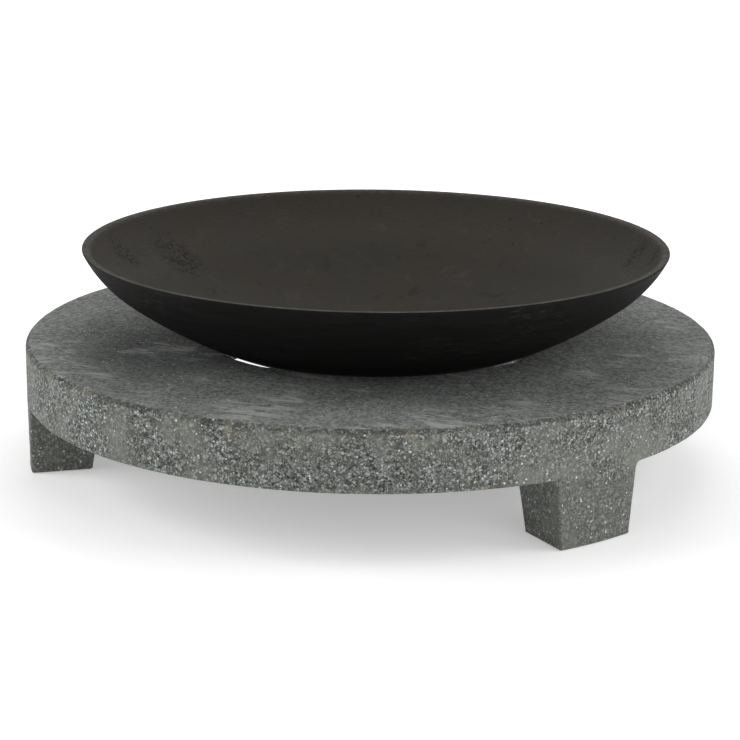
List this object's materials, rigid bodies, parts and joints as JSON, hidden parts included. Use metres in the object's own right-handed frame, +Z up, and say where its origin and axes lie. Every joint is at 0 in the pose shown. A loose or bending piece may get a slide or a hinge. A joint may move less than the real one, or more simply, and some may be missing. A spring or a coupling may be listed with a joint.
{
  "type": "fire bowl on stone ring",
  "caption": "Shallow round iron fire bowl resting loose in the round hole of a cast terrazzo ring that stands on short tapered legs.",
  "frame": {"origin": "on the ground, under the middle of the terrazzo ring", "axes": "+Z up, the bowl's lift-out direction; the front is towards -Y, between the two front legs; +X to the right"},
  "size_m": [0.6, 0.6, 0.1897],
  "materials": {
    "iron": "blackened, dry and matt, lightly scuffed",
    "terrazzo": "washed grey aggregate in dark cement, matt",
    "bar_steel": "plain mill-finish reinforcing bar, lightly rusted"
  },
  "bodies": {
    "ring": {"ring_slab": "terrazzo", "leg_front_right": "terrazzo", "leg_front_left": "terrazzo", "leg_rear": "terrazzo", "outer_hoop": "bar_steel", "inner_hoop": "bar_steel", "cross_ties": "bar_steel", "leg_bars_front_right": "bar_steel", "leg_bars_front_left": "bar_steel", "leg_bars_rear": "bar_steel"},
    "bowl": {"fire_bowl": "iron"}
  },
  "joints": [
    {"name": "bowl_lift", "type": "slide", "parent": "ring", "child": "bowl", "axis": [0, 0, 1], "range_m": [0, 0.25]}
  ]
}
